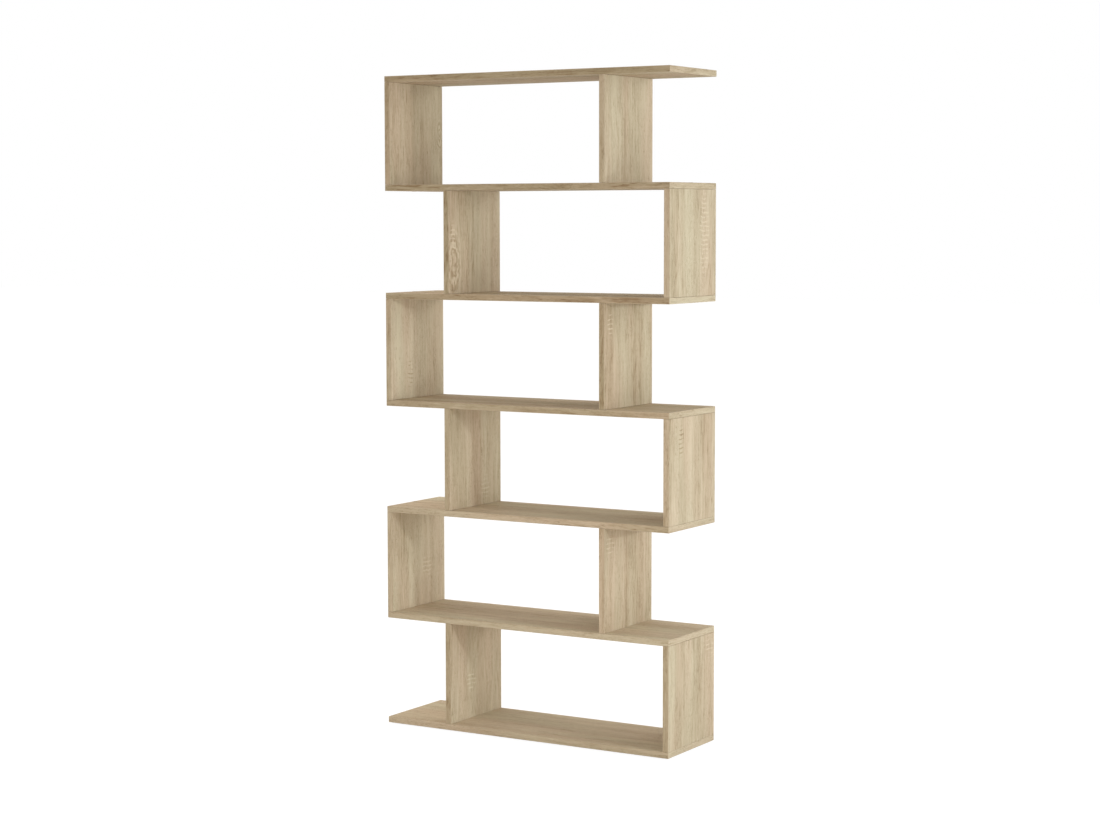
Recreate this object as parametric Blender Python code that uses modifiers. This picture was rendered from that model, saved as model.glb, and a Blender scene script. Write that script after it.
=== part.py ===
# Open zig-zag bookcase: full-width shelves with two short uprights in each tier.
# Metres, +Z up. The origin is on the floor under the middle of the bookcase, and its front faces -Y.
# Shelves and tiers are numbered from the top.

import math
from collections import namedtuple

import bmesh
import bpy
from mathutils import Matrix

# Boards
SHELF_WIDTH = 0.850
SHELF_DEPTH = 0.250
BOARD_THICKNESS = 0.016
BOARD_EDGE_CHAMFER = 0.0006
TIER_COUNT = 6
TIER_CLEAR_HEIGHT = 0.268  # from the top of one shelf to the underside of the next
UPRIGHT_INSET = 0.184  # from the shelf's end to the outer face of the upright that stands in from it

# Fits and cuts
SEAT_GAP = 0.0003  # between pieces that rest on each other, and around what sits in a hole
HOLE_SPARE = 0.001  # how much deeper a blind hole is than what goes into it
OVERRUN = 0.001  # how far a cutter runs past a face, or a joined piece into its neighbour
WELD_DISTANCE = 0.00001

# Connecting screw, one in the middle of each joint, through the shelf into the upright's end
SCREW_LENGTH = 0.050
SCREW_HEAD_DIAMETER = 0.010
SCREW_HEAD_RIM = 0.001
SCREW_HEAD_SINK = 0.0003  # how far the head lies under the shelf's face
SCREW_NECK_DIAMETER = 0.007
SCREW_NECK_SETBACK = 0.0015  # from the end of the plain neck to the shelf's other face
SCREW_THREAD_DIAMETER = 0.006  # mean of the thread's crest and root
SCREW_TIP_DIAMETER = 0.003
SCREW_TIP_LENGTH = 0.004
SCREW_KEY_SIZE = 0.004  # hex socket, across the flats
SCREW_KEY_DEPTH = 0.003

# Dowels, glued into the upright's ends in front of the screw and behind it
DOWEL_DIAMETER = 0.008
DOWEL_PROJECTION = 0.011
DOWEL_CHAMFER = 0.0008
DOWEL_OFFSET = 0.080  # from the screw

# Nail-in glides under the bottom shelf
GLIDE_DIAMETER = 0.020
GLIDE_HEIGHT = 0.003
GLIDE_CHAMFER = 0.0006
GLIDE_PIN_DIAMETER = 0.0025
GLIDE_PIN_LENGTH = 0.011
GLIDE_PIN_POINT = 0.002
GLIDE_END_INSET = 0.040  # from the shelf's end to the glide's middle
GLIDE_EDGE_INSET = 0.030  # from the shelf's front or back edge to the glide's middle

# Wall brackets on the back of the top shelf, bent from steel sheet
BRACKET_WIDTH = 0.020
BRACKET_FOOT = 0.030
BRACKET_LEG = 0.016
BRACKET_STEEL = 0.0015
BRACKET_BEND_RADIUS = 0.0025
BRACKET_CORNER_RADIUS = 0.003
BRACKET_HOLE_DIAMETER = 0.0045
BRACKET_END_INSET = 0.150  # from the shelf's end to the bracket's middle
BRACKET_HOLE_SHARES = {"back": 0.35, "front": 0.75}  # along the foot, from its back

# Wood screws that hold the brackets
BRACKET_SCREW_DIAMETER = 0.0035
BRACKET_SCREW_LENGTH = 0.013
BRACKET_SCREW_POINT = 0.003
BRACKET_SCREW_HEAD_DIAMETER = 0.007
BRACKET_SCREW_HEAD_HEIGHT = 0.0022
BRACKET_SCREW_HEAD_DOME = 0.0012
BRACKET_SCREW_SLOT_LENGTH = 0.0042
BRACKET_SCREW_SLOT_WIDTH = 0.0011
BRACKET_SCREW_SLOT_DEPTH = 0.0014

# Sides of the round pieces
SCREW_SIDES = 10
DOWEL_SIDES = 8
GLIDE_SIDES = 12
BRACKET_HOLE_SIDES = 12
BEND_SEGMENTS = 3

# Derived places
SHELF_COUNT = TIER_COUNT + 1
TIER_PITCH = TIER_CLEAR_HEIGHT + BOARD_THICKNESS
BOTTOM_SHELF_UNDERSIDE = GLIDE_HEIGHT + SEAT_GAP
UPRIGHT_LENGTH = TIER_CLEAR_HEIGHT - 2 * SEAT_GAP
SIDES = {"left": -1, "right": 1}
ENDS = {"front": -1, "back": 1}

Joint = namedtuple("Joint", "name upright shelf x z turned")


# Collections, materials and objects

def fresh_collection(name, parent):
    collection = bpy.data.collections.get(name) or bpy.data.collections.new(name)
    if collection.name not in parent.children:
        parent.children.link(collection)
    return collection


def new_material(name, colour, roughness, metallic):
    material = bpy.data.materials.new(name)
    material.use_nodes = True
    shader = material.node_tree.nodes["Principled BSDF"]
    shader.inputs["Base Color"].default_value = (*colour, 1.0)
    shader.inputs["Roughness"].default_value = roughness
    shader.inputs["Metallic"].default_value = metallic
    return material


def add_part(name, mesh, material):
    part = bpy.data.objects.new(name, mesh)
    if not mesh.materials:
        mesh.materials.append(material)
    parts.objects.link(part)
    part.parent = bookcase
    return part


def add_tool(name, mesh, collection):
    """A hidden object that only cuts or joins: it isn't part of the bookcase."""
    tool = bpy.data.objects.new(name, mesh)
    tool.hide_render = True
    tool.display_type = "WIRE"
    collection.objects.link(tool)
    return tool


def combine(part, operation, tool=None, collection=None):
    modifier = part.modifiers.new(operation.lower(), "BOOLEAN")
    modifier.operation = operation
    modifier.solver = "EXACT"
    if collection:
        modifier.operand_type = "COLLECTION"
        modifier.collection = collection
    else:
        modifier.object = tool


def baked_mesh(blank, smooth_angle):
    """The mesh of a blank with its modifiers applied. The blank is removed."""
    depsgraph = bpy.context.evaluated_depsgraph_get()
    mesh = bpy.data.meshes.new_from_object(blank.evaluated_get(depsgraph))
    mesh.name = blank.name
    mesh.shade_smooth()
    mesh.set_sharp_from_angle(angle=smooth_angle)
    bpy.data.objects.remove(blank)
    return mesh


# Shapes

def turned_blank(name, profile, sides):
    """A profile of (radius, height) points, from top to bottom, turned about Z."""
    mesh = bpy.data.meshes.new(name)
    edges = [(i, i + 1) for i in range(len(profile) - 1)]
    mesh.from_pydata([(radius, 0, height) for radius, height in profile], edges, [])
    blank = add_tool(name, mesh, cutters)
    turn = blank.modifiers.new("turn", "SCREW")
    turn.angle = math.tau
    turn.steps = sides
    turn.render_steps = sides
    turn.use_merge_vertices = True
    turn.merge_threshold = WELD_DISTANCE
    return blank


def turned_mesh(name, profile, sides):
    return baked_mesh(turned_blank(name, profile, sides), math.tau / sides * 1.1)


def cylinder_profile(radius, top, bottom):
    return [(0, top), (radius, top), (radius, bottom), (0, bottom)]


def box_mesh(name, size, middle=(0, 0, 0)):
    mesh = bpy.data.meshes.new(name)
    bm = bmesh.new()
    bmesh.ops.create_cube(bm, size=1.0, matrix=Matrix.Translation(middle) @ Matrix.Diagonal((*size, 1.0)))
    bm.to_mesh(mesh)
    bm.free()
    return mesh


def board_mesh(name, size, only_upright_edges):
    """A box about its own middle, with the chamfers that its edge bands have."""
    mesh = box_mesh(name, size)
    bm = bmesh.new()
    bm.from_mesh(mesh)
    edges = [
        edge for edge in bm.edges
        if not only_upright_edges or edge.verts[0].co.xy == edge.verts[1].co.xy
    ]
    bmesh.ops.bevel(bm, geom=edges, offset=BOARD_EDGE_CHAMFER, segments=1, profile=0.5, affect="EDGES")
    bm.to_mesh(mesh)
    bm.free()
    return mesh


# Places

def shelf_name(number):
    ends = {1: "_top", SHELF_COUNT: "_bottom"}
    return f"shelf_{number}{ends.get(number, '')}"


def shelf_underside(number):
    return BOTTOM_SHELF_UNDERSIDE + (SHELF_COUNT - number) * TIER_PITCH


def upright_x(tier, side):
    """One upright of a tier is flush with the shelf ends and the other stands in. They swap each tier."""
    flush_side = "left" if tier % 2 else "right"
    reach = (SHELF_WIDTH - BOARD_THICKNESS) / 2
    if side != flush_side:
        reach -= UPRIGHT_INSET
    return SIDES[side] * reach


def all_joints():
    """A joint's frame is on the shelf's face, with Z into the upright: turned where the shelf is above."""
    joints = []
    for tier in range(1, TIER_COUNT + 1):
        for side in SIDES:
            label = f"{tier}_{side}"
            x = upright_x(tier, side)
            above = shelf_underside(tier)
            below = shelf_underside(tier + 1) + BOARD_THICKNESS
            joints.append(Joint(f"{label}_upper", f"upright_{label}", shelf_name(tier), x, above, True))
            joints.append(Joint(f"{label}_lower", f"upright_{label}", shelf_name(tier + 1), x, below, False))
    return joints


def place_at_joint(piece, joint, y=0):
    piece.location = (joint.x, y, joint.z)
    piece.rotation_euler = (math.pi if joint.turned else 0, 0, 0)


# The bookcase's pieces

def make_boards():
    shelf_mesh = board_mesh("shelf", (SHELF_WIDTH, SHELF_DEPTH, BOARD_THICKNESS), False)
    upright_mesh = board_mesh("upright", (BOARD_THICKNESS, SHELF_DEPTH, UPRIGHT_LENGTH), True)
    boards = {}
    for number in range(1, SHELF_COUNT + 1):
        name = shelf_name(number)
        boards[name] = add_part(name, shelf_mesh, oak)
        boards[name].location = (0, 0, shelf_underside(number) + BOARD_THICKNESS / 2)
    for tier in range(1, TIER_COUNT + 1):
        for side in SIDES:
            name = f"upright_{tier}_{side}"
            boards[name] = add_part(name, upright_mesh, oak)
            boards[name].location = (upright_x(tier, side), 0, shelf_underside(tier) - TIER_CLEAR_HEIGHT / 2)
    holes = {}
    for name, board in boards.items():
        if name.startswith("upright"):
            combine(board, "UNION", collection=fresh_collection(f"dowels_of_{name}", cutters))
        holes[name] = fresh_collection(f"holes_in_{name}", cutters)
        combine(board, "DIFFERENCE", collection=holes[name])
    return holes


def make_joints(holes):
    """In the joint's frame the shelf reaches down to -BOARD_THICKNESS, where the screw's head is."""
    head = -BOARD_THICKNESS + SCREW_HEAD_SINK
    tip = head + SCREW_LENGTH
    rim_top = head + SCREW_HEAD_RIM
    head_radius = SCREW_HEAD_DIAMETER / 2
    neck_radius = SCREW_NECK_DIAMETER / 2
    thread_radius = SCREW_THREAD_DIAMETER / 2
    dowel_radius = DOWEL_DIAMETER / 2
    cone_top = rim_top + head_radius - neck_radius

    screw_blank = turned_blank(
        "connecting_screw",
        [
            (0, tip),
            (SCREW_TIP_DIAMETER / 2, tip),
            (thread_radius, tip - SCREW_TIP_LENGTH),
            (thread_radius, -SCREW_NECK_SETBACK),
            (neck_radius, -SCREW_NECK_SETBACK),
            (neck_radius, cone_top),
            (head_radius, rim_top),
            (head_radius, head),
            (0, head),
        ],
        SCREW_SIDES,
    )
    socket = turned_mesh(
        "hex_socket",
        cylinder_profile(SCREW_KEY_SIZE / math.sqrt(3), head + SCREW_KEY_DEPTH, head - OVERRUN),
        6,
    )
    socket_tool = add_tool("hex_socket", socket, cutters)
    combine(screw_blank, "DIFFERENCE", tool=socket_tool)
    screw_mesh = baked_mesh(screw_blank, math.tau / SCREW_SIDES * 1.1)
    bpy.data.objects.remove(socket_tool)

    shelf_bore = turned_mesh(
        "screw_hole_in_shelf",
        [
            (0, OVERRUN),
            (neck_radius + SEAT_GAP, OVERRUN),
            (neck_radius + SEAT_GAP, cone_top),
            (head_radius + SEAT_GAP, rim_top),
            (head_radius + SEAT_GAP, -BOARD_THICKNESS - OVERRUN),
            (0, -BOARD_THICKNESS - OVERRUN),
        ],
        SCREW_SIDES,
    )
    upright_bore = turned_mesh(
        "screw_hole_in_upright",
        cylinder_profile(thread_radius + SEAT_GAP, tip + HOLE_SPARE, SEAT_GAP - OVERRUN),
        SCREW_SIDES,
    )
    dowel = turned_mesh(
        "dowel",
        [
            (0, SEAT_GAP + OVERRUN),
            (dowel_radius, SEAT_GAP + OVERRUN),
            (dowel_radius, SEAT_GAP - DOWEL_PROJECTION + DOWEL_CHAMFER),
            (dowel_radius - DOWEL_CHAMFER, SEAT_GAP - DOWEL_PROJECTION),
            (0, SEAT_GAP - DOWEL_PROJECTION),
        ],
        DOWEL_SIDES,
    )
    dowel_bore = turned_mesh(
        "dowel_hole",
        cylinder_profile(dowel_radius + SEAT_GAP, OVERRUN, -DOWEL_PROJECTION - HOLE_SPARE),
        DOWEL_SIDES,
    )

    for joint in all_joints():
        place_at_joint(add_part(f"screw_{joint.name}", screw_mesh, steel), joint)
        place_at_joint(add_tool(f"shelf_bore_{joint.name}", shelf_bore, holes[joint.shelf]), joint)
        place_at_joint(add_tool(f"upright_bore_{joint.name}", upright_bore, holes[joint.upright]), joint)
        dowels = bpy.data.collections[f"dowels_of_{joint.upright}"]
        for end, sign in ENDS.items():
            y = sign * DOWEL_OFFSET
            place_at_joint(add_tool(f"dowel_{joint.name}_{end}", dowel, dowels), joint, y)
            place_at_joint(add_tool(f"dowel_hole_{joint.name}_{end}", dowel_bore, holes[joint.shelf]), joint, y)


def make_glides(holes_in_bottom_shelf):
    pin_radius = GLIDE_PIN_DIAMETER / 2
    pad_radius = GLIDE_DIAMETER / 2
    pin_top = GLIDE_HEIGHT + GLIDE_PIN_LENGTH
    glide_mesh = turned_mesh(
        "glide",
        [
            (0, pin_top),
            (pin_radius, pin_top - GLIDE_PIN_POINT),
            (pin_radius, GLIDE_HEIGHT),
            (pad_radius, GLIDE_HEIGHT),
            (pad_radius, GLIDE_CHAMFER),
            (pad_radius - GLIDE_CHAMFER, 0),
            (0, 0),
        ],
        GLIDE_SIDES,
    )
    pin_bore = turned_mesh(
        "glide_pin_hole",
        cylinder_profile(pin_radius + SEAT_GAP, pin_top + HOLE_SPARE, GLIDE_HEIGHT),
        GLIDE_SIDES,
    )
    rows = {"left": -1, "middle": 0, "right": 1}
    for end, end_sign in ENDS.items():
        for row, row_sign in rows.items():
            x = row_sign * (SHELF_WIDTH / 2 - GLIDE_END_INSET)
            y = end_sign * (SHELF_DEPTH / 2 - GLIDE_EDGE_INSET)
            add_part(f"glide_{end}_{row}", glide_mesh, plastic).location = (x, y, 0)
            add_tool(f"pin_hole_{end}_{row}", pin_bore, holes_in_bottom_shelf).location = (x, y, 0)


def bracket_sheet_mesh():
    """The outer side of the bent sheet: its foot on z = 0 and its leg on y = 0, with the bend between."""
    mesh = bpy.data.meshes.new("wall_bracket")
    bm = bmesh.new()
    foot = Matrix.Translation((0, -BRACKET_FOOT / 2, 0)) @ Matrix.Diagonal((BRACKET_WIDTH, BRACKET_FOOT, 1, 1))
    bmesh.ops.create_grid(bm, x_segments=1, y_segments=1, size=0.5, matrix=foot)
    bmesh.ops.reverse_faces(bm, faces=bm.faces)
    bm.edges.ensure_lookup_table()
    bend = max(bm.edges, key=lambda edge: edge.verts[0].co.y + edge.verts[1].co.y)
    raised = bmesh.ops.extrude_edge_only(bm, edges=[bend])["geom"]
    for vertex in [item for item in raised if isinstance(item, bmesh.types.BMVert)]:
        vertex.co.z += BRACKET_LEG
    corners = [vertex for vertex in bm.verts if len(vertex.link_edges) == 2]
    bmesh.ops.bevel(
        bm, geom=corners, offset=BRACKET_CORNER_RADIUS, segments=BEND_SEGMENTS, profile=0.5, affect="VERTICES"
    )
    bend = [edge for edge in bm.edges if len(edge.link_faces) == 2]
    bmesh.ops.bevel(
        bm, geom=bend, offset=BRACKET_BEND_RADIUS, segments=BEND_SEGMENTS, profile=0.5, affect="EDGES"
    )
    bmesh.ops.recalc_face_normals(bm, faces=bm.faces)
    if min(bm.faces, key=lambda face: face.calc_center_median().z).normal.z > 0:
        bmesh.ops.reverse_faces(bm, faces=bm.faces)
    bm.to_mesh(mesh)
    bm.free()
    return mesh


def make_brackets(holes_in_top_shelf):
    """Each bracket's frame is on the top shelf's upper face, at the middle of the bracket's back."""
    hole_radius = BRACKET_HOLE_DIAMETER / 2
    foot_holes = {end: -share * BRACKET_FOOT for end, share in BRACKET_HOLE_SHARES.items()}
    blank = add_tool("wall_bracket", bracket_sheet_mesh(), cutters)
    sheet = blank.modifiers.new("steel", "SOLIDIFY")
    sheet.thickness = BRACKET_STEEL
    sheet.offset = -1
    sheet.use_even_offset = True
    hole = turned_mesh(
        "bracket_hole", cylinder_profile(hole_radius, BRACKET_STEEL + OVERRUN, -OVERRUN), BRACKET_HOLE_SIDES
    )
    hole_tools = [add_tool("leg_hole", hole, cutters)]
    hole_tools[0].location.z = (BRACKET_STEEL + BRACKET_LEG) / 2
    hole_tools[0].rotation_euler.x = math.pi / 2
    for end, y in foot_holes.items():
        hole_tools.append(add_tool(f"foot_hole_{end}", hole, cutters))
        hole_tools[-1].location.y = y
    for tool in hole_tools:
        combine(blank, "DIFFERENCE", tool=tool)
    bracket_mesh = baked_mesh(blank, math.tau / BRACKET_HOLE_SIDES * 1.1)
    for tool in hole_tools:
        bpy.data.objects.remove(tool)

    shank_radius = BRACKET_SCREW_DIAMETER / 2
    screw_head_radius = BRACKET_SCREW_HEAD_DIAMETER / 2
    screw_blank = turned_blank(
        "bracket_screw",
        [
            (0, BRACKET_SCREW_HEAD_HEIGHT),
            (screw_head_radius - BRACKET_SCREW_HEAD_DOME, BRACKET_SCREW_HEAD_HEIGHT),
            (screw_head_radius, BRACKET_SCREW_HEAD_HEIGHT - BRACKET_SCREW_HEAD_DOME),
            (screw_head_radius, 0),
            (shank_radius, 0),
            (shank_radius, BRACKET_SCREW_POINT - BRACKET_SCREW_LENGTH),
            (0, -BRACKET_SCREW_LENGTH),
        ],
        SCREW_SIDES,
    )
    slot = box_mesh(
        "screw_slot",
        (BRACKET_SCREW_SLOT_LENGTH, BRACKET_SCREW_SLOT_WIDTH, 2 * BRACKET_SCREW_SLOT_DEPTH),
        (0, 0, BRACKET_SCREW_HEAD_HEIGHT),
    )
    slot_tools = [add_tool(f"slot_{turn}", slot, cutters) for turn in (0, 1)]
    for turn, tool in enumerate(slot_tools):
        tool.rotation_euler.z = turn * math.pi / 2
        combine(screw_blank, "DIFFERENCE", tool=tool)
    screw_mesh = baked_mesh(screw_blank, math.tau / SCREW_SIDES * 1.1)
    for tool in slot_tools:
        bpy.data.objects.remove(tool)

    top_face = shelf_underside(1) + BOARD_THICKNESS
    bracket_base = top_face + SEAT_GAP
    screw_seat = bracket_base + BRACKET_STEEL + SEAT_GAP
    pilot_bore = turned_mesh(
        "bracket_screw_hole",
        cylinder_profile(
            shank_radius + SEAT_GAP, OVERRUN, screw_seat - top_face - BRACKET_SCREW_LENGTH - HOLE_SPARE
        ),
        SCREW_SIDES,
    )
    for side, sign in SIDES.items():
        x = sign * (SHELF_WIDTH / 2 - BRACKET_END_INSET)
        back = SHELF_DEPTH / 2
        add_part(f"wall_bracket_{side}", bracket_mesh, steel).location = (x, back, bracket_base)
        for end, y in foot_holes.items():
            screw = add_part(f"bracket_screw_{side}_{end}", screw_mesh, steel)
            screw.location = (x, back + y, screw_seat)
            bore = add_tool(f"bracket_bore_{side}_{end}", pilot_bore, holes_in_top_shelf)
            bore.location = (x, back + y, top_face)


for old in list(bpy.data.objects):
    bpy.data.objects.remove(old)
parts = fresh_collection("bookcase", bpy.context.scene.collection)
cutters = fresh_collection("cutters", bpy.context.scene.collection)
bookcase = bpy.data.objects.new("bookcase_origin", None)
parts.objects.link(bookcase)

oak = new_material("oak_board", (0.53, 0.43, 0.30), 0.55, 0.0)
steel = new_material("zinc_plated_steel", (0.60, 0.61, 0.63), 0.35, 1.0)
plastic = new_material("glide_plastic", (0.72, 0.70, 0.65), 0.50, 0.0)

board_holes = make_boards()
make_joints(board_holes)
make_glides(board_holes[shelf_name(SHELF_COUNT)])
make_brackets(board_holes[shelf_name(1)])
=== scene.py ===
import math

import bmesh
import bpy
from mathutils import Euler, Matrix, Vector


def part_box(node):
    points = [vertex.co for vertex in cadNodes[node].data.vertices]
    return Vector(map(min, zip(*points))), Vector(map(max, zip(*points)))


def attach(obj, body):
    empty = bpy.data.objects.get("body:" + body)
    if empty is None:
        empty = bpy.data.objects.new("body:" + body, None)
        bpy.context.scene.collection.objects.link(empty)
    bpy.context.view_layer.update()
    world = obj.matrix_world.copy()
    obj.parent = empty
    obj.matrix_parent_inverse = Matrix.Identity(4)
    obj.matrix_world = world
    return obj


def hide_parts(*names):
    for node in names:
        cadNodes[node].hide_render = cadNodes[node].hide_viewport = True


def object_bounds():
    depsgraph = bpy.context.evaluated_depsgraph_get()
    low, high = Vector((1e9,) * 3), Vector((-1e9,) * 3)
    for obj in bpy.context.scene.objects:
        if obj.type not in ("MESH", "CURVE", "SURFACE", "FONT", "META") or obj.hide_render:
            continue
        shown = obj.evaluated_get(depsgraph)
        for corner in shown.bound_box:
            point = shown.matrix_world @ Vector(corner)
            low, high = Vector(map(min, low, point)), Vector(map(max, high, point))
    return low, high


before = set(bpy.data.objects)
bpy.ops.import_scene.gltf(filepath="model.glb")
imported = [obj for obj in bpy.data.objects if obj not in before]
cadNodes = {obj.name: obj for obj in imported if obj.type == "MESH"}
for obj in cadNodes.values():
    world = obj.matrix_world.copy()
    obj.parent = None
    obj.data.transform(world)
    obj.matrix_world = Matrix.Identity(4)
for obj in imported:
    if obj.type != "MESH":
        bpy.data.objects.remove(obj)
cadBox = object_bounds()
print("frame loaded,", len(cadNodes), "nodes")

scene = bpy.context.scene
scene.view_settings.view_transform = "Standard"

# camera at the photograph's place, found from the corners of the boards
photoCamera = {
    "place": (3.153, -5.223, 1.350),
    "yaw": 0.5422,  # radians, turned left of +Y
    "pitch": -0.0822,
    "roll": -0.0014,
    "focalPixels": 2347.0,  # in a frame that is framePixels wide
    "framePixels": 1100,
    "sensorWidth": 36.0,
    "clipEnd": 200.0,
}


def addCamera(settings):
    data = bpy.data.cameras.new("photoCamera")
    data.sensor_width = settings["sensorWidth"]
    data.lens = settings["focalPixels"] / settings["framePixels"] * settings["sensorWidth"]
    data.clip_end = settings["clipEnd"]
    camera = bpy.data.objects.new("photoCamera", data)
    scene.collection.objects.link(camera)
    turn = Matrix.Rotation(settings["yaw"], 4, "Z")
    tilt = Matrix.Rotation(math.pi / 2 + settings["pitch"], 4, "X")
    roll = Matrix.Rotation(settings["roll"], 4, "Z")
    camera.matrix_world = Matrix.Translation(settings["place"]) @ turn @ tilt @ roll
    scene.camera = camera


addCamera(photoCamera)

# a pale even room, a small key lamp and four softboxes, named for where they stand
room = {
    "color": (1.0, 0.95, 0.86),
    "strength": 0.65,
    "floorSize": 60.0,
    "floorColor": (0.85, 0.85, 0.85),
    "floorRoughness": 0.9,
    "floorGlow": 0.78,  # share of the floor's look that no shadow darkens
    "glowStrength": 1.17,
}
lamps = {
    "rightKey": {"azimuth": -10, "elevation": 6, "distance": 6.0, "size": (0.2, 0.2), "power": 70.0,
                 "color": (0.85, 0.95, 1.0)},
    "rearRightSoftbox": {"azimuth": 40, "elevation": 12, "distance": 5.0, "size": (2.4, 2.4), "power": 80.0,
                         "color": (0.85, 0.95, 1.0)},
    "leftSoftbox": {"azimuth": 176, "elevation": 45, "distance": 5.0, "size": (2.4, 2.4), "power": 105.0,
                    "color": (1.0, 0.97, 0.90)},
    "lowFrontSoftbox": {"azimuth": -62, "elevation": -11, "distance": 1.7, "size": (1.2, 0.6), "power": 6.0,
                        "color": (1.0, 1.0, 1.0)},
    "lowRightSoftbox": {"azimuth": -30, "elevation": -14, "distance": 2.3, "size": (1.4, 0.6), "power": 1.5,
                        "color": (0.85, 0.95, 1.0)},
}


def addLamp(name, settings):
    data = bpy.data.lights.new(name, "AREA")
    data.shape = "RECTANGLE"
    data.size, data.size_y = settings["size"]
    data.energy = settings["power"]
    data.color = settings["color"]
    lamp = bpy.data.objects.new(name, data)
    scene.collection.objects.link(lamp)
    azimuth = math.radians(settings["azimuth"])
    elevation = math.radians(settings["elevation"])
    level = math.cos(elevation)
    away = Vector((math.cos(azimuth) * level, math.sin(azimuth) * level, math.sin(elevation)))
    lamp.visible_camera = False
    lamp.location = (cadBox[0] + cadBox[1]) / 2 + away * settings["distance"]
    lamp.rotation_euler = away.to_track_quat("Z", "Y").to_euler()


def seenDirectly(tree):
    # 1 for camera rays, and for rays mirrored by or sent through a surface, so metal shows the white too
    rays = tree.nodes.new("ShaderNodeLightPath")
    straight = tree.nodes.new("ShaderNodeMath")
    either = tree.nodes.new("ShaderNodeMath")
    straight.operation = either.operation = "MAXIMUM"
    tree.links.new(rays.outputs["Is Camera Ray"], straight.inputs[0])
    tree.links.new(rays.outputs["Is Glossy Ray"], straight.inputs[1])
    tree.links.new(straight.outputs[0], either.inputs[0])
    tree.links.new(rays.outputs["Is Transmission Ray"], either.inputs[1])
    return either.outputs[0]


def lightRoom(settings):
    world = bpy.data.worlds.new("whiteRoom")
    world.use_nodes = True
    scene.world = world
    tree = world.node_tree
    tree.nodes.clear()
    light = tree.nodes.new("ShaderNodeBackground")
    light.inputs["Color"].default_value = (*settings["color"], 1.0)
    light.inputs["Strength"].default_value = settings["strength"]
    seen = tree.nodes.new("ShaderNodeBackground")
    seen.inputs["Color"].default_value = (1.0, 1.0, 1.0, 1.0)
    pick = tree.nodes.new("ShaderNodeMixShader")
    output = tree.nodes.new("ShaderNodeOutputWorld")
    tree.links.new(seenDirectly(tree), pick.inputs["Fac"])
    tree.links.new(light.outputs["Background"], pick.inputs[1])
    tree.links.new(seen.outputs["Background"], pick.inputs[2])
    tree.links.new(pick.outputs["Shader"], output.inputs["Surface"])


def addFloor(settings):
    mesh = bpy.data.meshes.new("floor")
    bm = bmesh.new()
    bmesh.ops.create_grid(bm, x_segments=1, y_segments=1, size=settings["floorSize"] / 2)
    bm.to_mesh(mesh)
    bm.free()
    floor = bpy.data.objects.new("floor", mesh)
    scene.collection.objects.link(floor)
    material = bpy.data.materials.new("floorWhite")
    material.use_nodes = True
    tree = material.node_tree
    paint = tree.nodes["Principled BSDF"]
    paint.inputs["Base Color"].default_value = (*settings["floorColor"], 1.0)
    paint.inputs["Roughness"].default_value = settings["floorRoughness"]
    glow = tree.nodes.new("ShaderNodeEmission")
    glow.inputs["Strength"].default_value = settings["glowStrength"]
    share = tree.nodes.new("ShaderNodeMath")
    share.operation = "MULTIPLY"
    share.inputs[1].default_value = settings["floorGlow"]
    blend = tree.nodes.new("ShaderNodeMixShader")
    output = tree.nodes["Material Output"]
    tree.links.new(seenDirectly(tree), share.inputs[0])
    tree.links.new(share.outputs[0], blend.inputs["Fac"])
    tree.links.new(paint.outputs["BSDF"], blend.inputs[1])
    tree.links.new(glow.outputs["Emission"], blend.inputs[2])
    tree.links.new(blend.outputs["Shader"], output.inputs["Surface"])
    mesh.materials.append(material)


for lampName, lampSettings in lamps.items():
    addLamp(lampName, lampSettings)
lightRoom(room)
addFloor(room)
print("camera, light and floor set")


def newNode(tree, kind, values=None, **settings):
    node = tree.nodes.new(kind)
    for key, value in settings.items():
        setattr(node, key, value)
    for socket, value in (values or {}).items():
        node.inputs[socket].default_value = value
    return node


def newGroup(name, inputs):
    # a pattern group, with the three outputs that surfaceMaterial joins up
    tree = bpy.data.node_groups.new(name, "ShaderNodeTree")
    for label, kind, value in inputs:
        socket = tree.interface.new_socket(label, in_out="INPUT", socket_type=kind)
        if value is not None:
            socket.default_value = value
    tree.interface.new_socket("Color", in_out="OUTPUT", socket_type="NodeSocketColor")
    tree.interface.new_socket("Roughness", in_out="OUTPUT", socket_type="NodeSocketFloat")
    tree.interface.new_socket("Height", in_out="OUTPUT", socket_type="NodeSocketFloat")
    return tree, newNode(tree, "NodeGroupInput"), newNode(tree, "NodeGroupOutput")


def stretchedNoise(tree, vector, stretch, detail):
    # noise with stretch cells a metre along, across and through the board
    scaled = newNode(tree, "ShaderNodeVectorMath", {1: stretch}, operation="MULTIPLY")
    noise = newNode(tree, "ShaderNodeTexNoise", {"Scale": 1.0, "Detail": detail})
    tree.links.new(vector, scaled.inputs[0])
    tree.links.new(scaled.outputs["Vector"], noise.inputs["Vector"])
    return noise.outputs["Fac"]


def calculate(tree, operation, *terms):
    # one Math node; each term is a socket or a number
    node = newNode(tree, "ShaderNodeMath", operation=operation)
    for place, term in enumerate(terms):
        if isinstance(term, (int, float)):
            node.inputs[place].default_value = term
        else:
            tree.links.new(term, node.inputs[place])
    return node.outputs[0]


def addWeighted(tree, start, values, weights):
    # start plus each weighted value
    total = start
    for name, weight in weights.items():
        total = calculate(tree, "MULTIPLY_ADD", values[name], weight, total)
    return total


def rescale(tree, value, low, high, newLow=0.0, newHigh=1.0):
    # a smooth step from newLow at low to newHigh at high
    limits = {"From Min": low, "From Max": high, "To Min": newLow, "To Max": newHigh}
    node = newNode(tree, "ShaderNodeMapRange", limits, interpolation_type="SMOOTHSTEP")
    tree.links.new(value, node.inputs["Value"])
    return node.outputs["Result"]


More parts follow.
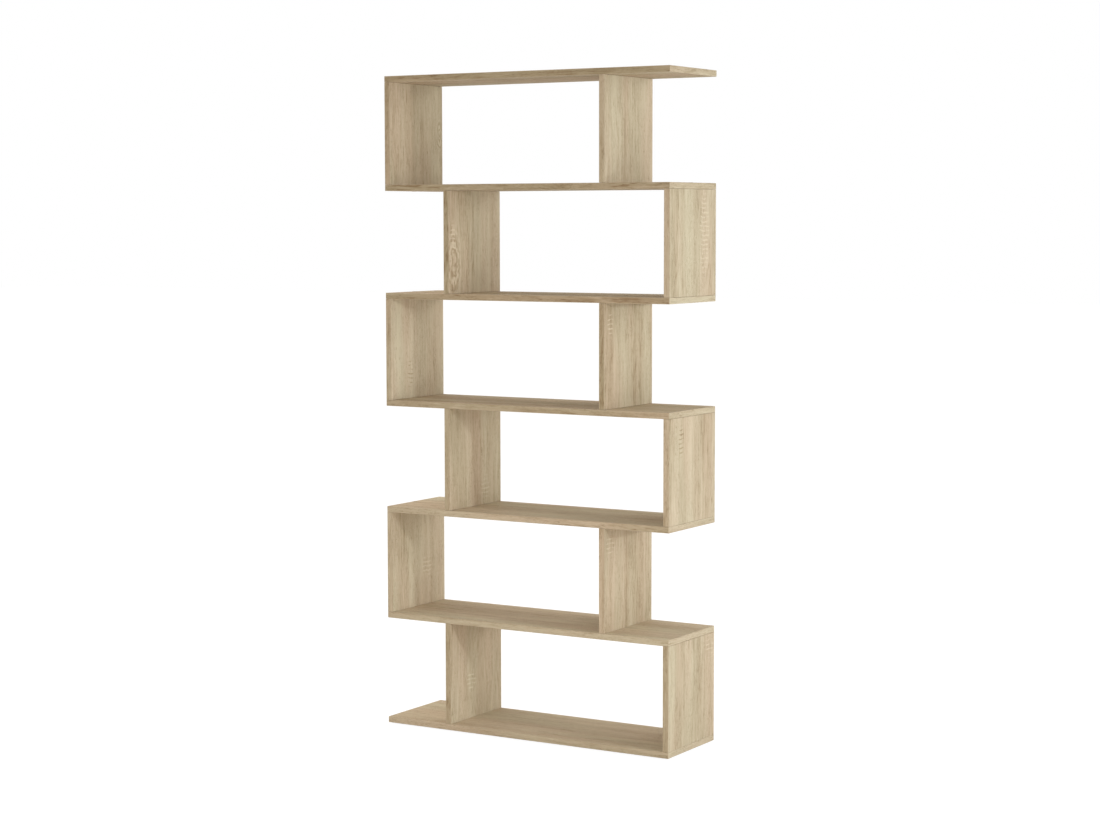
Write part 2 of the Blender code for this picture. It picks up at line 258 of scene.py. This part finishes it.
def blendColor(tree, mode, factor, first, second):
    node = newNode(tree, "ShaderNodeMix", data_type="RGBA", blend_type=mode)
    for place, term in ((0, factor), (6, first), (7, second)):
        if isinstance(term, (int, float, tuple)):
            node.inputs[place].default_value = term
        else:
            tree.links.new(term, node.inputs[place])
    return node.outputs[2]


# the oak print: X runs along the grain, Y and Z across it, in metres
oakPrint = {
    "darkest": (0.27, 0.18, 0.10, 1.0),
    "dark": (0.40, 0.31, 0.20, 1.0),
    "middle": (0.51, 0.41, 0.29, 1.0),
    "light": (0.62, 0.53, 0.39, 1.0),
    "levels": {"darkest": 0.0, "dark": 0.25, "middle": 0.5, "light": 0.85},
    "plainLevel": 0.575,  # the level of a plain board where it has no marks
    "warmTint": (1.022, 0.990, 0.990, 1.0),
    "greenTint": (0.982, 1.004, 0.990, 1.0),
    "poreTint": (0.58, 0.50, 0.42, 1.0),
    "waviness": 0.006,
    "ringPitch": 0.0125,
    "ringBend": 95.0,  # radians that the flame noise bends the rings by, at full figure
    "rungPitch": 0.0115,
    "rungSway": 4.0,  # radians that the rungs' own noise bends them by
    "rungSwayByBands": 6.0,
    "ladderDepth": 0.007,
    "knotShape": (1.0, 2.6, 8.0),  # how much narrower a knot is across and through the board
    "knotTurns": 8.0,  # radians of rings in one knot size
    "knotSway": 9.0,
    "nowhere": (-50.0, 0.0, 0.0),  # a place off the sheet, for boards without a ladder or knot
    # cells a metre along the grain, cells a metre across it, and detail
    "noises": {
        "wideBands": (1.3, 9.0, 0.0),
        "tint": (2.0, 13.0, 1.0),
        "patches": (7.0, 24.0, 1.0),
        "flame": (4.2, 15.0, 1.0),
        "waver": (15.0, 34.0, 1.0),
        "bands": (1.6, 25.0, 2.0),
        "streaks": (6.0, 115.0, 2.0),
        "dashes": (22.0, 210.0, 2.0),
        "fibres": (38.0, 1100.0, 2.0),
        "pores": (75.0, 2300.0, 0.0),
        "rungs": (55.0, 42.0, 1.0),
    },
    # where a fade starts and ends, and its two values when they are not 0 and 1
    "fades": {
        "knotPull": (2.8, 0.3, 0.0, 0.6),
        "bands": (0.38, 0.62),
        "ring": (-0.1, 1.0),
        "ringDepth": (0.36, 0.62, 0.15, 1.0),
        "ringPatch": (0.54, 0.44),
        "flecks": (0.53, 0.66),
        "fleckPatch": (0.42, 0.60, 0.08, 1.0),
        "paleFlecks": (0.45, 0.33),
        "palePatch": (0.56, 0.38, 0.15, 1.0),
        "seam": (0.008, 0.001),
        "seamBreaks": (0.30, 0.60, 0.6, 1.0),
        "rungs": (0.2, 0.9, -0.06, 1.0),
        "rungBreaks": (0.38, 0.56, 0.2, 1.0),
        "ladder": (1.25, 0.6),
        "heart": (0.60, 0.20),
        "knotRings": (-0.8, 0.8, -0.6, 1.0),
        "knot": (2.6, 0.9),
        "warm": (0.34, 0.66),
        "pores": (0.63, 0.74),
        "poreDepth": (0.66, 0.40, 0.15, 1.0),
    },
    # how much each pattern lightens (more than 0) or darkens the print, then what it does to the surface
    "grainWeights": {"wideBands": 0.20, "bands": 0.17, "streaks": 0.30, "fibres": 0.40},
    "markWeights": {"ringLine": -0.13, "flecks": -0.18, "paleFlecks": 0.13, "seam": -0.13, "rungs": 0.42,
                    "heart": -0.20, "knotRings": -0.28},
    "roughness": 0.80,
    "roughnessWeights": {"fibres": -0.16, "pores": 0.18, "rungs": 0.06},
    "heightWeights": {"fibres": 0.35, "pores": -1.0, "rungs": 0.25, "flecks": -0.4, "heart": -0.4,
                      "ringLine": -0.3},
    "bump": 0.00018,
    "gloss": 0.10,
}


def distanceFrom(tree, place, middle, stretch, operation):
    # distance from a point of the sheet, measured in a stretched space
    offset = newNode(tree, "ShaderNodeVectorMath", operation="SUBTRACT")
    shape = newNode(tree, "ShaderNodeVectorMath", operation=operation)
    length = newNode(tree, "ShaderNodeVectorMath", operation="LENGTH")
    tree.links.new(place, offset.inputs[0])
    tree.links.new(middle, offset.inputs[1])
    tree.links.new(offset.outputs["Vector"], shape.inputs[0])
    if isinstance(stretch, tuple):
        shape.inputs[1].default_value = stretch
    else:
        tree.links.new(stretch, shape.inputs[1])
    tree.links.new(shape.outputs["Vector"], length.inputs[0])
    return length.outputs["Value"]


def makeOakPrint(look):
    tree, given, result = newGroup("oakPrint", [
        ("Vector", "NodeSocketVector", None),
        ("Tone", "NodeSocketFloat", 0.0),
        ("Figure", "NodeSocketFloat", 0.5),
        ("Seam", "NodeSocketFloat", look["nowhere"][0]),
        ("Ladder", "NodeSocketVector", look["nowhere"]),
        ("Ladder Size", "NodeSocketVector", (0.04, 0.02, 0.01)),
        ("Ladder Strength", "NodeSocketFloat", 0.0),
        ("Knot", "NodeSocketVector", look["nowhere"]),
        ("Knot Size", "NodeSocketFloat", 0.02),
    ])

    def noise(name, vector):
        lengthwise, crosswise, detail = look["noises"][name]
        return stretchedNoise(tree, vector, (lengthwise, crosswise, crosswise), detail)

    def fade(name, value):
        return rescale(tree, value, *look["fades"][name])

    def times(first, second):
        return calculate(tree, "MULTIPLY", first, second)

    place = given.outputs["Vector"]
    parts = newNode(tree, "ShaderNodeSeparateXYZ")
    tree.links.new(place, parts.inputs["Vector"])
    wideBands = noise("wideBands", place)
    tint = noise("tint", place)
    patches = noise("patches", place)
    flame = noise("flame", place)

    # the grain wavers across the board and parts around a knot
    knotGap = distanceFrom(tree, place, given.outputs["Knot"], look["knotShape"], "MULTIPLY")
    knotGap = calculate(tree, "DIVIDE", knotGap, given.outputs["Knot Size"])
    knotParts = newNode(tree, "ShaderNodeSeparateXYZ")
    tree.links.new(given.outputs["Knot"], knotParts.inputs["Vector"])
    waver = noise("waver", place)
    shift = calculate(tree, "MULTIPLY_ADD", waver, look["waviness"], -look["waviness"] / 2)
    toKnot = calculate(tree, "SUBTRACT", knotParts.outputs["Y"], parts.outputs["Y"])
    shifted = calculate(tree, "ADD", parts.outputs["Y"], shift)
    across = calculate(tree, "MULTIPLY_ADD", toKnot, fade("knotPull", knotGap), shifted)
    joined = newNode(tree, "ShaderNodeCombineXYZ")
    tree.links.new(parts.outputs["X"], joined.inputs["X"])
    tree.links.new(across, joined.inputs["Y"])
    tree.links.new(calculate(tree, "ADD", parts.outputs["Z"], shift), joined.inputs["Z"])
    wavy = joined.outputs["Vector"]
    bandNoise = noise("bands", wavy)
    streaks = noise("streaks", wavy)
    dashes = noise("dashes", wavy)
    fibres = noise("fibres", wavy)
    poreNoise = noise("pores", wavy)

    # growth rings: the flame noise bends the lines into arches, in patches
    bend = times(flame, times(given.outputs["Figure"], look["ringBend"]))
    straight = times(across, 2 * math.pi / look["ringPitch"])
    wave = calculate(tree, "SINE", calculate(tree, "ADD", bend, straight))
    ring = times(fade("ring", wave), fade("ringDepth", dashes))
    ringLine = times(ring, fade("ringPatch", wideBands))

    # short dark flecks in clumps, pale ones between them, and one dark seam along the board
    flecks = times(fade("flecks", dashes), fade("fleckPatch", patches))
    paleFlecks = times(fade("paleFlecks", dashes), fade("palePatch", patches))
    seamGap = calculate(tree, "ABSOLUTE", calculate(tree, "SUBTRACT", across, given.outputs["Seam"]))
    seam = times(fade("seam", seamGap), fade("seamBreaks", dashes))

    # a ladder of rungs square to the grain
    ladderGap = distanceFrom(tree, place, given.outputs["Ladder"], given.outputs["Ladder Size"], "DIVIDE")
    rungNoise = noise("rungs", place)
    broadSway = times(bandNoise, look["rungSwayByBands"])
    rungSway = calculate(tree, "MULTIPLY_ADD", rungNoise, look["rungSway"], broadSway)
    rungPhase = times(parts.outputs["X"], 2 * math.pi / look["rungPitch"])
    rungWave = calculate(tree, "SINE", calculate(tree, "ADD", rungSway, rungPhase))
    rungs = times(fade("rungs", rungWave), fade("ladder", ladderGap))
    rungs = times(rungs, fade("rungBreaks", rungNoise))
    rungs = times(rungs, given.outputs["Ladder Strength"])

    # the knot: a dark heart in rings that fade outwards
    knotSway = calculate(tree, "MULTIPLY_ADD", rungNoise, look["knotSway"], times(dashes, look["knotSway"]))
    knotPhase = calculate(tree, "MULTIPLY_ADD", knotGap, look["knotTurns"], knotSway)
    knotRings = times(fade("knotRings", calculate(tree, "SINE", knotPhase)), fade("knot", knotGap))

    patterns = {
        "wideBands": wideBands,
        "bands": fade("bands", bandNoise),
        "streaks": streaks,
        "fibres": fibres,
        "pores": times(fade("pores", poreNoise), fade("poreDepth", streaks)),
        "ringLine": ringLine,
        "flecks": flecks,
        "paleFlecks": paleFlecks,
        "seam": seam,
        "rungs": rungs,
        "heart": fade("heart", knotGap),
        "knotRings": knotRings,
    }
    level = calculate(tree, "ADD", given.outputs["Tone"], look["plainLevel"])
    for name, weight in look["grainWeights"].items():
        swing = calculate(tree, "MULTIPLY_ADD", patterns[name], weight, -weight / 2)
        level = calculate(tree, "ADD", level, swing)
    level = addWeighted(tree, level, patterns, look["markWeights"])

    ramp = newNode(tree, "ShaderNodeValToRGB")
    stops = ramp.color_ramp.elements
    for stop, name in zip(stops, ("darkest", "light")):
        stop.position = look["levels"][name]
        stop.color = look[name]
    for name in ("dark", "middle"):
        stops.new(look["levels"][name]).color = look[name]
    tree.links.new(level, ramp.inputs["Fac"])
    tinted = blendColor(tree, "MIX", fade("warm", tint), look["greenTint"], look["warmTint"])
    color = blendColor(tree, "MULTIPLY", 1.0, ramp.outputs["Color"], tinted)
    color = blendColor(tree, "MULTIPLY", patterns["pores"], color, look["poreTint"])
    roughness = addWeighted(tree, look["roughness"], patterns, look["roughnessWeights"])
    height = addWeighted(tree, 0.0, patterns, look["heightWeights"])
    tree.links.new(color, result.inputs["Color"])
    tree.links.new(roughness, result.inputs["Roughness"])
    tree.links.new(height, result.inputs["Height"])
    return tree


oakGroup = makeOakPrint(oakPrint)
# a few shades of the one print, partly as boards cut from different sheets have and partly painted light
# and shade:
# the upper shelves are set deep and the lower shelves pale, for the light that falls brighter lower down
boardToneAndPaintedLight = {"deep": -0.08, "plain": 0.0, "pale": 0.08}
bandShift = -0.15  # the edge bands are set a step deeper than their board's shade
grainTurns = {
    "x": (0.0, 0.0, 0.0),
    "y": (0.0, 0.0, -math.pi / 2),
    "z": (0.0, math.pi / 2, 0.0),
}


def surfaceMaterial(name, group, values, bump, turn=(0.0, 0.0, 0.0), move=(0.0, 0.0, 0.0),
                    metallic=0.0, gloss=0.5):
    # a Principled material whose colour, roughness and bump come from a group on Object coordinates
    material = bpy.data.materials.new(name)
    material.use_nodes = True
    tree = material.node_tree
    surface = tree.nodes["Principled BSDF"]
    surface.inputs["Metallic"].default_value = metallic
    surface.inputs["Specular IOR Level"].default_value = gloss
    coordinates = newNode(tree, "ShaderNodeTexCoord")
    mapping = newNode(tree, "ShaderNodeMapping", {"Location": move, "Rotation": turn})
    pattern = newNode(tree, "ShaderNodeGroup", node_tree=group)
    for socket, value in values.items():
        pattern.inputs[socket].default_value = value
    relief = newNode(tree, "ShaderNodeBump", {"Distance": bump, "Strength": 1.0})
    tree.links.new(coordinates.outputs["Object"], mapping.inputs["Vector"])
    tree.links.new(mapping.outputs["Vector"], pattern.inputs["Vector"])
    tree.links.new(pattern.outputs["Color"], surface.inputs["Base Color"])
    tree.links.new(pattern.outputs["Roughness"], surface.inputs["Roughness"])
    tree.links.new(pattern.outputs["Height"], relief.inputs["Height"])
    tree.links.new(relief.outputs["Normal"], surface.inputs["Normal"])
    return material


def oakMaterial(name, grain, look, faceX=0.0):
    # places in the look are the board's own; onSheet finds them on the turned and moved sheet
    turn = grainTurns[grain]
    sheetPlace = look["sheetPlace"]

    def onSheet(spot):
        return tuple(Euler(turn).to_matrix() @ Vector(spot) + Vector(sheetPlace))

    # the shade gives the board its own tone and also painted light and shade
    values = {"Tone": boardToneAndPaintedLight[look["shade"]] + look.get("shift", 0.0), "Figure": look["figure"]}
    if "seam" in look:
        values["Seam"] = onSheet((faceX, look["seam"], 0.0))[1]
    if "ladder" in look:
        y, z, halfLength, halfWidth, strength = look["ladder"]
        values["Ladder"] = onSheet((faceX, y, z))
        values["Ladder Size"] = (halfLength, halfWidth, oakPrint["ladderDepth"])
        values["Ladder Strength"] = strength
    if "knot" in look:
        y, z, size = look["knot"]
        values["Knot"] = onSheet((faceX, y, z))
        values["Knot Size"] = size
    return surfaceMaterial(name, oakGroup, values, oakPrint["bump"], turn, sheetPlace,
                           gloss=oakPrint["gloss"])


# particleboard core, seen only in the holes and on the uprights' ends
coreLook = {
    "chipDark": (0.30, 0.20, 0.11, 1.0),
    "chipLight": (0.62, 0.48, 0.31, 1.0),
    "chipsPerMetre": 620.0,
    "chipShare": 0.7,
    "dustPerMetre": 2400.0,
    "dustDetail": 2.0,
    "dustShare": 0.4,
    "roughness": 0.75,
    "dustRoughness": 0.2,
    "bump": 0.0006,
}


def makeCoreGroup(look):
    tree, given, result = newGroup("pressedChips", [("Vector", "NodeSocketVector", None)])
    place = given.outputs["Vector"]
    chips = newNode(tree, "ShaderNodeTexVoronoi", {"Scale": look["chipsPerMetre"]})
    dust = stretchedNoise(tree, place, (look["dustPerMetre"],) * 3, look["dustDetail"])
    shade = newNode(tree, "ShaderNodeSeparateColor")
    tree.links.new(place, chips.inputs["Vector"])
    tree.links.new(chips.outputs["Color"], shade.inputs["Color"])
    chipPart = calculate(tree, "MULTIPLY", shade.outputs["Red"], look["chipShare"])
    mixed = calculate(tree, "MULTIPLY_ADD", dust, look["dustShare"], chipPart)
    color = blendColor(tree, "MIX", mixed, look["chipDark"], look["chipLight"])
    roughness = calculate(tree, "MULTIPLY_ADD", dust, look["dustRoughness"], look["roughness"])
    tree.links.new(color, result.inputs["Color"])
    tree.links.new(roughness, result.inputs["Roughness"])
    tree.links.new(chips.outputs["Distance"], result.inputs["Height"])
    return tree


coreMaterial = surfaceMaterial("boardCore", makeCoreGroup(coreLook), {}, coreLook["bump"])

# wood dowels, zinc plated steel and moulded plastic share one fine pattern
fineVariation = {
    "cloudDetail": 4.0,
    "cloudFade": (0.3, 0.7),
    "gritScale": 7.0,
    "gritDetail": 1.0,
    "bump": 0.00004,
}


def makeFineGroup(look):
    tree, given, result = newGroup("fineVariation", [
        ("Vector", "NodeSocketVector", None),
        ("Low Color", "NodeSocketColor", (0.5, 0.5, 0.5, 1.0)),
        ("High Color", "NodeSocketColor", (0.8, 0.8, 0.8, 1.0)),
        ("Low Roughness", "NodeSocketFloat", 0.3),
        ("High Roughness", "NodeSocketFloat", 0.5),
        ("Cells", "NodeSocketVector", (200.0, 200.0, 200.0)),
    ])
    scaled = newNode(tree, "ShaderNodeVectorMath", operation="MULTIPLY")
    tree.links.new(given.outputs["Vector"], scaled.inputs[0])
    tree.links.new(given.outputs["Cells"], scaled.inputs[1])
    cloud = newNode(tree, "ShaderNodeTexNoise", {"Scale": 1.0, "Detail": look["cloudDetail"]})
    grit = newNode(tree, "ShaderNodeTexNoise", {"Scale": look["gritScale"], "Detail": look["gritDetail"]})
    tree.links.new(scaled.outputs["Vector"], cloud.inputs["Vector"])
    tree.links.new(scaled.outputs["Vector"], grit.inputs["Vector"])
    amount = rescale(tree, cloud.outputs["Fac"], *look["cloudFade"])
    color = blendColor(tree, "MIX", amount, given.outputs["Low Color"], given.outputs["High Color"])
    spread = calculate(tree, "SUBTRACT", given.outputs["High Roughness"], given.outputs["Low Roughness"])
    roughness = calculate(tree, "MULTIPLY_ADD", amount, spread, given.outputs["Low Roughness"])
    tree.links.new(color, result.inputs["Color"])
    tree.links.new(roughness, result.inputs["Roughness"])
    tree.links.new(grit.outputs["Fac"], result.inputs["Height"])
    return tree


fineGroup = makeFineGroup(fineVariation)
fineLooks = {
    "beechDowel": {"Low Color": (0.52, 0.34, 0.20, 1.0), "High Color": (0.68, 0.49, 0.31, 1.0),
                   "Low Roughness": 0.55, "High Roughness": 0.7, "Cells": (900.0, 900.0, 60.0)},
    "zincScrew": {"Low Color": (0.40, 0.41, 0.42, 1.0), "High Color": (0.56, 0.57, 0.59, 1.0),
                  "Low Roughness": 0.28, "High Roughness": 0.46, "Cells": (260.0, 260.0, 260.0)},
    "zincBracket": {"Low Color": (0.42, 0.43, 0.44, 1.0), "High Color": (0.55, 0.56, 0.575, 1.0),
                    "Low Roughness": 0.34, "High Roughness": 0.52, "Cells": (420.0, 120.0, 120.0)},
    "glidePlastic": {"Low Color": (0.66, 0.65, 0.62, 1.0), "High Color": (0.72, 0.71, 0.68, 1.0),
                     "Low Roughness": 0.42, "High Roughness": 0.55, "Cells": (300.0, 300.0, 300.0)},
    "bandCore": {"Low Color": (0.40, 0.32, 0.22, 1.0), "High Color": (0.46, 0.37, 0.255, 1.0),
                 "Low Roughness": 0.45, "High Roughness": 0.6, "Cells": (90.0, 90.0, 90.0)},
}
metals = ("zincScrew", "zincBracket")
fineMaterials = {
    name: surfaceMaterial(name, fineGroup, values, fineVariation["bump"], metallic=float(name in metals))
    for name, values in fineLooks.items()
}
print("materials made")

# boards: each takes its faces from its own place on the printed sheet
boards = {
    "bandThickness": 0.0008,
    "rounding": 0.00022,
    "roundingSegments": 2,
    "roundedAngles": (30, 60),  # degrees between the faces of an edge that is rounded
    "chamfer": 0.00065,  # an edge closer than this to two sides of the board is on its chamfer
    "faceArea": 0.0001,  # a flat face larger than this is one of the board's own six sides
    "flatAngle": 0.5,  # degrees up to which neighbouring faces count as one flat face
    "sharpAngle": 38,
    "merge": 0.000001,
    "beyondEnd": 0.00001,
    "onSide": 0.0001,  # a square face closer than this to a side of the board is that side
    "square": 0.999,  # how nearly a square face's normal follows its axis
    "normalWeight": 100,
    "bandSheet": 30.0,  # how far along the sheet the bands are from the faces
    "endSheet": 60.0,
    "edgeFigure": 0.25,
}
# where each board's faces and bands lie on the printed sheet, which shade it has (partly its own tone,
# partly painted light and shade), and what shows on the photographed face: seam is a place along Y;
# ladder is Y, Z, half length, half width, strength; knot is Y, Z, size
prints = {
    "shelf_1_top": {"sheetPlace": (0.3, 0.4, 0.1), "figure": 0.7, "shade": "deep"},
    "shelf_2": {"sheetPlace": (1.9, 1.1, 0.3), "figure": 0.4, "shade": "deep"},
    "shelf_3": {"sheetPlace": (3.4, 2.3, 0.6), "figure": 0.5, "shade": "deep"},
    "shelf_4": {"sheetPlace": (5.1, 0.9, 0.8), "figure": 0.4, "shade": "deep"},
    "shelf_5": {"sheetPlace": (6.7, 3.2, 0.2), "figure": 0.5, "shade": "pale"},
    "shelf_6": {"sheetPlace": (8.2, 1.7, 0.5), "figure": 0.4, "shade": "pale"},
    "shelf_7_bottom": {"sheetPlace": (9.9, 2.6, 0.9), "figure": 0.5, "shade": "pale"},
    "upright_1_left": {"sheetPlace": (11.2, 0.2, 0.4), "figure": 0.4, "shade": "plain",
                       "knot": (0.11, 1.575, 0.022)},
    "upright_1_right": {"sheetPlace": (12.1, 1.3, 0.7), "figure": 0.6, "shade": "pale", "seam": -0.02},
    "upright_2_left": {"sheetPlace": (13.3, 2.1, 0.1), "figure": 0.5, "shade": "plain", "seam": -0.01,
                       "ladder": (-0.105, 1.295, 0.045, 0.012, 0.8), "knot": (-0.1, 1.235, 0.048)},
    "upright_2_right": {"sheetPlace": (14.6, 3.0, 0.3), "figure": 0.6, "shade": "plain", "seam": -0.055,
                        "ladder": (0.06, 1.315, 0.1, 0.026, 0.75)},
    "upright_3_left": {"sheetPlace": (15.8, 0.6, 0.9), "figure": 0.3, "shade": "pale", "seam": -0.04,
                       "ladder": (-0.035, 0.935, 0.04, 0.013, -0.9)},
    "upright_3_right": {"sheetPlace": (16.7, 1.8, 0.2), "figure": 0.5, "shade": "deep", "seam": -0.05,
                        "ladder": (-0.095, 1.085, 0.03, 0.014, 0.9)},
    "upright_4_left": {"sheetPlace": (17.9, 2.4, 0.6), "figure": 0.4, "shade": "deep", "seam": 0.025,
                       "ladder": (0.045, 0.635, 0.04, 0.022, 0.6), "knot": (0.03, 0.73, 0.008)},
    "upright_4_right": {"sheetPlace": (18.8, 3.5, 0.8), "figure": 0.5, "shade": "plain", "seam": 0.06,
                        "ladder": (-0.06, 0.795, 0.04, 0.014, -0.9)},
    "upright_5_left": {"sheetPlace": (19.7, 0.8, 0.5), "figure": 0.5, "shade": "pale", "seam": -0.07,
                       "ladder": (0.04, 0.41, 0.03, 0.024, 0.8)},
    "upright_5_right": {"sheetPlace": (20.9, 1.5, 0.1), "figure": 0.4, "shade": "plain", "seam": -0.01,
                        "ladder": (-0.095, 0.525, 0.024, 0.022, 0.8)},
    "upright_6_left": {"sheetPlace": (21.8, 2.2, 0.7), "figure": 0.5, "shade": "pale",
                       "ladder": (-0.025, 0.12, 0.024, 0.022, 0.9)},
    "upright_6_right": {"sheetPlace": (22.7, 3.1, 0.4), "figure": 0.6, "shade": "plain", "seam": -0.04,
                        "ladder": (0.1, 0.255, 0.032, 0.022, 0.6)},
}


def boardBox(bm, faceArea):
    # the box of the board itself, without the dowels that stand out of it
    spots = [v.co for face in bm.faces if face.calc_area() > faceArea for v in face.verts]
    low = Vector([min(spot[axis] for spot in spots) for axis in range(3)])
    high = Vector([max(spot[axis] for spot in spots) for axis in range(3)])
    return low, high


def toSide(spot, axis, low, high):
    # distance to the nearer of the board's two sides on an axis
    return min(abs(spot[axis] - low[axis]), abs(spot[axis] - high[axis]))


def roundChamfers(bm, low, high, settings):
    def sidesNear(spot):
        return sum(toSide(spot, axis, low, high) < settings["chamfer"] for axis in range(3))

    least, most = settings["roundedAngles"]
    picked = []
    for edge in bm.edges:
        if not edge.is_manifold or not all(sidesNear(v.co) >= 2 for v in edge.verts):
            continue
        if least < math.degrees(edge.calc_face_angle()) < most:
            picked.append(edge)
    bmesh.ops.bevel(bm, geom=picked, offset=settings["rounding"], segments=settings["roundingSegments"],
                    profile=0.5, affect="EDGES", material=-1, clamp_overlap=True)


def cutBandSeams(bm, low, high, banded, settings):
    # a loop of edges where each edge band meets the board
    for axis in banded:
        for side, inward in ((low, 1), (high, -1)):
            spot = Vector((0.0, 0.0, 0.0))
            spot[axis] = side[axis] + inward * settings["bandThickness"]
            across = Vector((0.0, 0.0, 0.0))
            across[axis] = 1.0
            bmesh.ops.bisect_plane(bm, geom=bm.verts[:] + bm.edges[:] + bm.faces[:], dist=settings["merge"],
                                   plane_co=spot, plane_no=across)


def boardFinish(face, low, high, upright, banded, settings):
    # the name of the finish that a face of the board takes
    middle = face.calc_center_median()
    square = [abs(part) > settings["square"] for part in face.normal]
    gaps = [toSide(middle, axis, low, high) for axis in range(3)]
    onSide = [gap < settings["onSide"] for gap in gaps]
    beyond = settings["beyondEnd"]
    if upright and not low[2] - beyond <= middle[2] <= high[2] + beyond:
        return "dowel"
    wide = 0 if upright else 2
    if square[wide]:
        if not onSide[wide]:
            return "chips"
        return "bandCore" if any(gaps[axis] < settings["bandThickness"] for axis in banded) else "face"
    if square[1] and onSide[1]:
        return "band"
    if not upright and square[0] and onSide[0]:
        return "end"
    edgeAxes = (0, 1) if upright else (0, 1, 2)
    nearSides = sum(gaps[axis] < settings["chamfer"] for axis in edgeAxes)
    return "bandCore" if nearSides >= 2 else "chips"


def dressBoard(name, settings):
    upright = name.startswith("upright")
    grain = "z" if upright else "x"
    banded = (1,) if upright else (0, 1)
    bm = bmesh.new()
    bm.from_mesh(cadNodes[name].data)
    bmesh.ops.remove_doubles(bm, verts=bm.verts, dist=settings["merge"])
    bmesh.ops.dissolve_limit(bm, angle_limit=math.radians(settings["flatAngle"]), verts=bm.verts,
                             edges=bm.edges)
    low, high = boardBox(bm, settings["faceArea"])
    roundChamfers(bm, low, high, settings)
    cutBandSeams(bm, low, high, banded, settings)

    look = prints[name]
    x, y, z = look["sheetPlace"]
    # the bands take the board's shade, with its painted light and shade, set a step deeper
    band = {"sheetPlace": (x + settings["bandSheet"], y, z), "figure": settings["edgeFigure"],
            "shade": look["shade"], "shift": bandShift}
    boardEnd = {"sheetPlace": (x + settings["endSheet"], y, z), "figure": settings["edgeFigure"],
                "shade": "plain"}
    finishes = {
        "face": oakMaterial("oak_" + name, grain, look, high[0]),
        "band": oakMaterial("oakBand_" + name, grain, band),
        "end": oakMaterial("oakEnd_" + name, "y", boardEnd),
        "bandCore": fineMaterials["bandCore"],
        "chips": coreMaterial,
        "dowel": fineMaterials["beechDowel"],
    }
    places = {finish: place for place, finish in enumerate(finishes)}
    for face in bm.faces:
        face.material_index = places[boardFinish(face, low, high, upright, banded, settings)]
    mesh = bpy.data.meshes.new(name)
    for material in finishes.values():
        mesh.materials.append(material)
    bm.normal_update()
    bm.to_mesh(mesh)
    bm.free()
    mesh.shade_smooth()
    mesh.set_sharp_from_angle(angle=math.radians(settings["sharpAngle"]))
    board = bpy.data.objects.new("board_" + name, mesh)
    scene.collection.objects.link(board)
    keepFlat = board.modifiers.new("keepFlatFaces", "WEIGHTED_NORMAL")
    keepFlat.keep_sharp = True
    keepFlat.weight = settings["normalWeight"]
    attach(board, "root")
    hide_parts(name)


for boardName in prints:
    dressBoard(boardName, boards)
print("boards dressed:", len(prints))

# thin stick-on caps in the board's finish over the screw heads
caps = {
    "radius": 0.0065,
    "thickness": 0.0004,
    "rim": 0.00015,
    "lift": 0.00002,
    "spinSteps": 40,
    "merge": 0.000001,
    "sharpAngle": 35,
}
capMaterials = [
    oakMaterial("oakCapFirst", "x", {"sheetPlace": (2.2, 0.3, 0.6), "shade": "plain", "figure": 0.1}),
    oakMaterial("oakCapSecond", "x", {"sheetPlace": (4.4, 1.6, 0.1), "shade": "plain", "figure": 0.1}),
]


def addCap(name, x, y, z, facing, material, settings):
    bm = bmesh.new()
    radius, thickness, rim = settings["radius"], settings["thickness"], settings["rim"]
    outline = [
        (0.0, 0.0),
        (radius, 0.0),
        (radius, thickness - rim),
        (radius - rim, thickness),
        (0.0, thickness),
    ]
    corners = [bm.verts.new((across, 0.0, up)) for across, up in outline]
    for first, second in zip(corners, corners[1:]):
        bm.edges.new((first, second))
    bmesh.ops.spin(bm, geom=bm.verts[:] + bm.edges[:], cent=(0, 0, 0), axis=(0, 0, 1), angle=2 * math.pi,
                   steps=settings["spinSteps"], use_merge=True)
    bmesh.ops.remove_doubles(bm, verts=bm.verts, dist=settings["merge"])
    bmesh.ops.recalc_face_normals(bm, faces=bm.faces)
    if facing < 0:
        bmesh.ops.rotate(bm, verts=bm.verts, cent=(0, 0, 0), matrix=Matrix.Rotation(math.pi, 3, "X"))
    bmesh.ops.translate(bm, verts=bm.verts, vec=(x, y, z + facing * settings["lift"]))
    mesh = bpy.data.meshes.new(name)
    bm.to_mesh(mesh)
    bm.free()
    mesh.materials.append(material)
    mesh.shade_smooth()
    mesh.set_sharp_from_angle(angle=math.radians(settings["sharpAngle"]))
    cap = bpy.data.objects.new(name, mesh)
    scene.collection.objects.link(cap)
    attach(cap, "root")


screwNames = [name for name in cadNodes if name.startswith("screw_")]
shelfNames = [name for name in cadNodes if name.startswith("shelf_")]
for count, screwName in enumerate(sorted(screwNames)):
    low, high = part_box(screwName)
    # an upper screw goes down through its shelf, so its cap lies on top; the others are underneath
    facing = 1 if screwName.endswith("upper") else -1
    shelfFaces = [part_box(shelf)[1][2] if facing > 0 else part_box(shelf)[0][2] for shelf in shelfNames]
    headEnd = high[2] if facing > 0 else low[2]
    surface = min(shelfFaces, key=lambda level: abs(level - headEnd))
    middle = (low + high) / 2
    addCap(screwName.replace("screw", "screw_cap"), middle[0], middle[1], surface, facing,
           capMaterials[count % len(capMaterials)], caps)
print("caps added:", len(screwNames))

# the small parts keep their CAD shapes and get their finishes
for name, node in cadNodes.items():
    if name.startswith(("screw", "bracket_screw")):
        finish = fineMaterials["zincScrew"]
    elif name.startswith("wall_bracket"):
        finish = fineMaterials["zincBracket"]
    elif name.startswith("glide"):
        finish = fineMaterials["glidePlastic"]
    else:
        continue
    for slot in node.material_slots:
        slot.material = finish
print("small parts finished")
